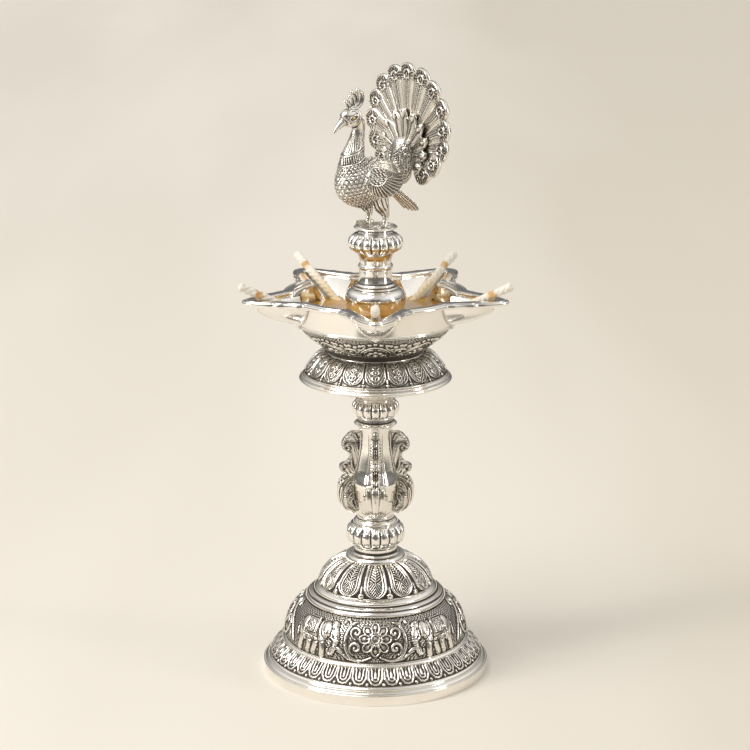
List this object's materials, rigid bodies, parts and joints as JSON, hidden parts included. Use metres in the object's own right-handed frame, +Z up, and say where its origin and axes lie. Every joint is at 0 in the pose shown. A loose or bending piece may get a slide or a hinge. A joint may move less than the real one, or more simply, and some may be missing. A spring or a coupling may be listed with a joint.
{
  "type": "standing oil lamp",
  "caption": "Standing oil lamp: a domed foot and baluster stem carry a spouted oil bowl on a bell-shaped skirt, with a ball column and a peacock with raised train on top.",
  "frame": {"origin": "centre of the foot, on the surface that the lamp stands on", "axes": "+Z up along the lamp's axis, -Y towards the spout at the front, +X to the right"},
  "size_m": [0.1324, 0.1262, 0.2975],
  "materials": {
    "polished_silver": "polished silver plate over cast brass",
    "carved_silver": "chased silver plate with dark patina in the recesses",
    "raw_metal": "turned metal, unpolished",
    "cotton": "rolled cotton, stained by oil near the end",
    "lamp_oil": "clear amber oil"
  },
  "bodies": {
    "base": {"base_foot_ring": "polished_silver", "base_tongue_band": "carved_silver", "base_wire_ring": "polished_silver", "base_elephant_drum": "carved_silver", "base_step_ring": "polished_silver", "base_lotus_dome": "carved_silver", "base_top_collar": "polished_silver", "base_socket": "raw_metal"},
    "stem_stud": {"stem_stud": "raw_metal"},
    "stem": {"stem_core_tube": "raw_metal", "stem_lower_knop": "polished_silver", "stem_lower_bead": "polished_silver", "stem_baluster": "polished_silver", "stem_scroll_front": "carved_silver", "stem_scroll_right": "carved_silver", "stem_scroll_back": "carved_silver", "stem_scroll_left": "carved_silver", "stem_upper_collar": "polished_silver", "stem_upper_knop": "polished_silver", "stem_upper_ring": "polished_silver"},
    "bowl_stud": {"bowl_stud": "raw_metal"},
    "bowl": {"bowl_spindle": "raw_metal", "bowl_skirt_rim": "polished_silver", "bowl_skirt": "carved_silver", "bowl_collar": "polished_silver", "bowl_carved_band": "carved_silver", "bowl_shell": "polished_silver", "bowl_rim": "polished_silver", "oil_pool": "lamp_oil"},
    "wick_1": {"wick_1": "cotton"},
    "wick_2": {"wick_2": "cotton"},
    "wick_3": {"wick_3": "cotton"},
    "wick_4": {"wick_4": "cotton"},
    "wick_5": {"wick_5": "cotton"},
    "column_stud": {"column_stud": "raw_metal"},
    "column": {"column_core_tube": "raw_metal", "column_ball": "polished_silver", "column_step_ring": "polished_silver", "column_throat": "polished_silver", "column_bead": "polished_silver", "column_flare": "polished_silver", "column_knop": "polished_silver"},
    "peacock_stud": {"peacock_stud": "raw_metal"},
    "peacock": {"peacock_cup": "polished_silver", "peacock_body": "carved_silver", "peacock_crest": "carved_silver", "peacock_wing_left": "carved_silver", "peacock_wing_right": "carved_silver", "peacock_leg_left": "carved_silver", "peacock_leg_right": "carved_silver", "peacock_train_outer": "carved_silver", "peacock_train_coverts": "carved_silver", "peacock_train_root": "carved_silver", "peacock_lower_tail": "carved_silver"}
  },
  "joints": [
    {"name": "stem_rise", "type": "slide", "parent": "base", "child": "stem_stud", "axis": [0, 0, 1], "range_m": [0, 0.01]},
    {"name": "stem_turn", "type": "hinge", "parent": "stem_stud", "child": "stem", "pos_m": [0, 0, 0.0625], "axis": [0, 0, 1], "range_deg": [0, 2881]},
    {"name": "bowl_rise", "type": "slide", "parent": "stem", "child": "bowl_stud", "axis": [0, 0, 1], "range_m": [0, 0.01]},
    {"name": "bowl_turn", "type": "hinge", "parent": "bowl_stud", "child": "bowl", "pos_m": [0, 0, 0.138], "axis": [0, 0, 1], "range_deg": [0, 2881]},
    {"name": "column_rise", "type": "slide", "parent": "bowl", "child": "column_stud", "axis": [0, 0, 1], "range_m": [0, 0.01]},
    {"name": "column_turn", "type": "hinge", "parent": "column_stud", "child": "column", "pos_m": [0, 0, 0.1742], "axis": [0, 0, 1], "range_deg": [0, 2881]},
    {"name": "peacock_rise", "type": "slide", "parent": "column", "child": "peacock_stud", "axis": [0, 0, 1], "range_m": [0, 0.01]},
    {"name": "peacock_turn", "type": "hinge", "parent": "peacock_stud", "child": "peacock", "pos_m": [0, 0, 0.2179], "axis": [0, 0, 1], "range_deg": [0, 2881]},
    {"name": "wick_1_draw", "type": "slide", "parent": "bowl", "child": "wick_1", "axis": [0, -0.891, 0.454], "range_m": [0, 0.01]},
    {"name": "wick_2_draw", "type": "slide", "parent": "bowl", "child": "wick_2", "axis": [0.8474, -0.2753, 0.454], "range_m": [0, 0.01]},
    {"name": "wick_3_draw", "type": "slide", "parent": "bowl", "child": "wick_3", "axis": [0.5237, 0.7208, 0.454], "range_m": [0, 0.01]},
    {"name": "wick_4_draw", "type": "slide", "parent": "bowl", "child": "wick_4", "axis": [-0.5237, 0.7208, 0.454], "range_m": [0, 0.01]},
    {"name": "wick_5_draw", "type": "slide", "parent": "bowl", "child": "wick_5", "axis": [-0.8474, -0.2753, 0.454], "range_m": [0, 0.01]}
  ],
  "couplings": [
    {"joint": "stem_turn", "follows": "stem_rise", "rad_per_m": 5026.5},
    {"joint": "bowl_turn", "follows": "bowl_rise", "rad_per_m": 5026.5},
    {"joint": "column_turn", "follows": "column_rise", "rad_per_m": 5026.5},
    {"joint": "peacock_turn", "follows": "peacock_rise", "rad_per_m": 5026.5}
  ]
}
